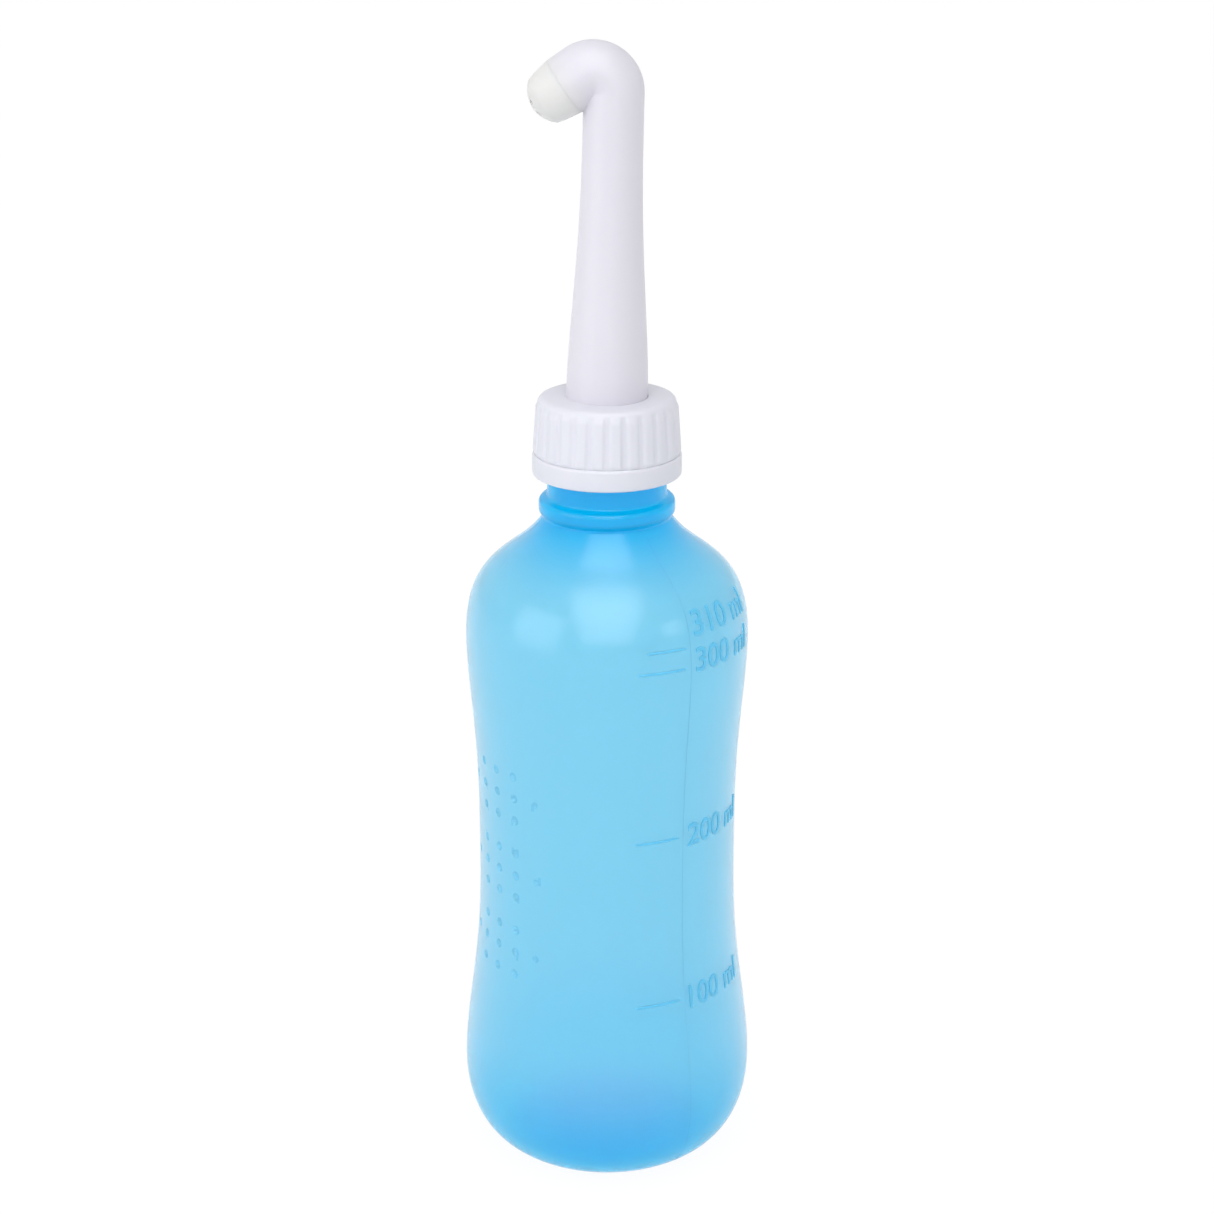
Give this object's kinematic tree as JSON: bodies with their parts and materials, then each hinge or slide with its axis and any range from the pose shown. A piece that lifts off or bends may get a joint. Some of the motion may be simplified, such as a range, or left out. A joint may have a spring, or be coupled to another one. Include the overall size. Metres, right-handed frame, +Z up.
{
  "type": "squeeze wash bottle",
  "caption": "Waisted squeeze wash bottle with a threaded neck, ribbed screw cap and hooked spray nozzle that swivels under the cap.",
  "frame": {"origin": "centre of the ring that the bottle stands on", "axes": "+Z up along the bottle's axis, -X towards the nozzle's outlet, +X and -Y side carries the volume scale"},
  "size_m": [0.064, 0.064, 0.246],
  "materials": {
    "bottle": "frosted translucent low-density polyethylene, tinted blue",
    "washer": "soft silicone, matt",
    "nozzle": "moulded polypropylene, satin, faintly lavender white",
    "tip": "soft moulded polyethylene, satin, neutral white",
    "cap": "moulded polypropylene, satin, faintly lavender white"
  },
  "bodies": {
    "bottle": {"bottle_body": "bottle"},
    "closure_seat": {"sealing_washer": "washer"},
    "cap": {"screw_cap": "cap"},
    "nozzle": {"nozzle_tube": "nozzle", "spray_tip": "tip"}
  },
  "joints": [
    {"name": "closure_rise", "type": "slide", "parent": "bottle", "child": "closure_seat", "axis": [0, 0, 1], "range_m": [0, 0.0064]},
    {"name": "cap_turn", "type": "hinge", "parent": "closure_seat", "child": "cap", "pos_m": [0, 0, 0.165], "axis": [0, 0, 1], "range_deg": [0, 540]},
    {"name": "nozzle_swivel", "type": "hinge", "parent": "closure_seat", "child": "nozzle", "pos_m": [0, 0, 0.171], "axis": [0, 0, 1], "continuous": true}
  ],
  "couplings": [
    {"joint": "closure_rise", "follows": "cap_turn", "m_per_rad": 0.00067322}
  ]
}
